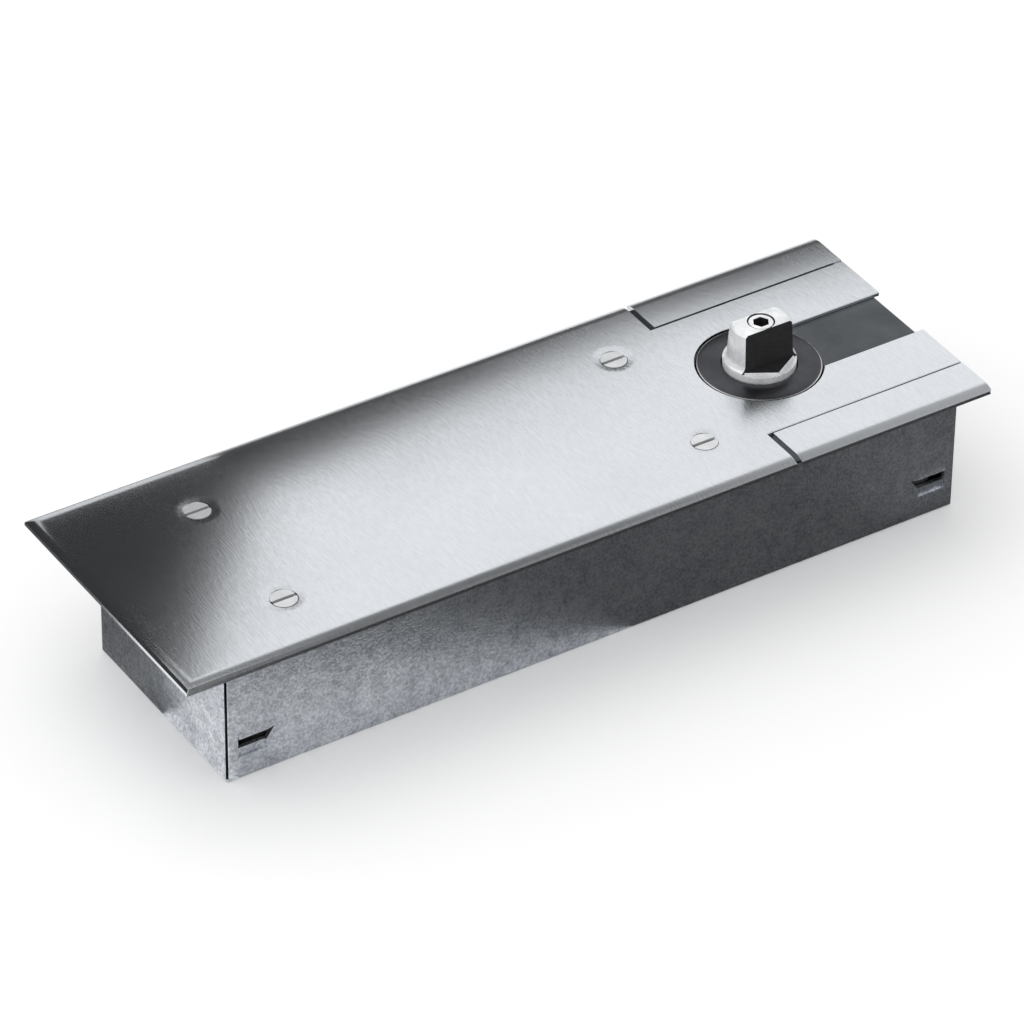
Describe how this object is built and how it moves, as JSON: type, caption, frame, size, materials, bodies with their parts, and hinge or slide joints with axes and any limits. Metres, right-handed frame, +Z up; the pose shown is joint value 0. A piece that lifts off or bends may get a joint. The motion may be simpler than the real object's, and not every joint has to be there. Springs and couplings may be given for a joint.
{
  "type": "floor spring door closer",
  "caption": "Floor spring door closer: sheet-metal cement box, hydraulic body with heart cam and spring, brushed cover plate and a flat-conical spindle insert.",
  "frame": {"origin": "on the spindle's axis, at the underside of the cement box", "axes": "+X along the box towards the jamb end, where the spindle is; +Z up along the spindle; +Y towards one face of the door"},
  "size_m": [0.3096, 0.105, 0.0714],
  "materials": {
    "stainless": "brushed stainless sheet",
    "dark_steel": "satin black coated steel",
    "insert_steel": "ground and polished steel",
    "galvanised": "galvanised sheet with fine spangle",
    "cast_iron": "dark painted cast iron",
    "bright_steel": "machined hardened steel",
    "zinc_screw": "bright zinc-plated screw steel",
    "spring_steel": "shot-peened spring steel",
    "bronze": "bearing bronze",
    "brass": "turned brass",
    "seal_rubber": "black nitrile rubber",
    "gasket_fibre": "dark fibre-reinforced gasket sheet"
  },
  "bodies": {
    "closer": {"cement_box": "galvanised", "closer_body": "cast_iron", "body_lid": "cast_iron", "lid_gasket": "gasket_fibre", "lid_screws": "zinc_screw", "bearing_cap": "dark_steel", "shaft_seal": "seal_rubber", "upper_bearing_shell": "bright_steel", "upper_needles": "bright_steel", "lower_bearing_shell": "bright_steel", "lower_needles": "bright_steel", "thrust_washer": "bronze", "spring_seat": "bright_steel", "rod_bush": "bronze", "end_plug": "bright_steel", "plug_ring": "seal_rubber", "filler_plug": "zinc_screw", "cover_plate": "stainless", "cover_strip_front": "stainless", "cover_strip_rear": "stainless", "carrier_plate": "dark_steel", "cover_screws": "stainless", "levelling_screws": "zinc_screw", "fixing_screws": "zinc_screw", "fixing_nuts": "zinc_screw", "main_spring": "spring_steel"},
    "spindle_set": {"spindle": "insert_steel", "spindle_insert": "insert_steel", "insert_screw": "zinc_screw", "heart_cam": "bright_steel", "cam_key": "bright_steel"},
    "carriage": {"slide_plate_upper": "bright_steel", "slide_plate_lower": "bright_steel", "roller_pins": "bright_steel", "crosshead_pin": "bright_steel", "piston_rod": "bright_steel", "piston": "bright_steel", "piston_seal": "seal_rubber", "piston_nut": "zinc_screw", "check_ball_retainer": "bronze"},
    "power_roller": {"power_roller": "bright_steel"},
    "return_roller": {"return_roller": "bright_steel"},
    "check_ball": {"check_ball": "bright_steel"},
    "closing_valve": {"closing_valve": "brass", "closing_valve_ring": "seal_rubber"},
    "latching_valve": {"latching_valve": "brass", "latching_valve_ring": "seal_rubber"}
  },
  "joints": [
    {"name": "spindle_swing", "type": "hinge", "parent": "closer", "child": "spindle_set", "pos_m": [0, 0, 0.05], "axis": [0, 0, 1], "range_deg": [0, 130], "stiffness_Nm_per_rad": 0.05},
    {"name": "carriage_slide", "type": "slide", "parent": "closer", "child": "carriage", "axis": [1, 0, 0], "range_m": [0, 0.01248], "deforming": ["main_spring"]},
    {"name": "power_roller_spin", "type": "hinge", "parent": "carriage", "child": "power_roller", "pos_m": [0.0198, 0, 0.02675], "axis": [0, 0, 1], "continuous": true},
    {"name": "return_roller_spin", "type": "hinge", "parent": "carriage", "child": "return_roller", "pos_m": [-0.03708, 0, 0.02675], "axis": [0, 0, 1], "continuous": true},
    {"name": "check_ball_lift", "type": "slide", "parent": "carriage", "child": "check_ball", "axis": [-1, 0, 0], "range_m": [0, 0.001]},
    {"name": "closing_valve_turn", "type": "hinge", "parent": "closer", "child": "closing_valve", "pos_m": [-0.19, -0.0216, 0.038], "axis": [0, 0, 1], "range_deg": [-180, 180]},
    {"name": "latching_valve_turn", "type": "hinge", "parent": "closer", "child": "latching_valve", "pos_m": [-0.19, 0.0216, 0.038], "axis": [0, 0, 1], "range_deg": [-180, 180]}
  ],
  "couplings": [
    {"joint": "carriage_slide", "follows": "spindle_swing", "m_per_rad": 0.0055}
  ]
}
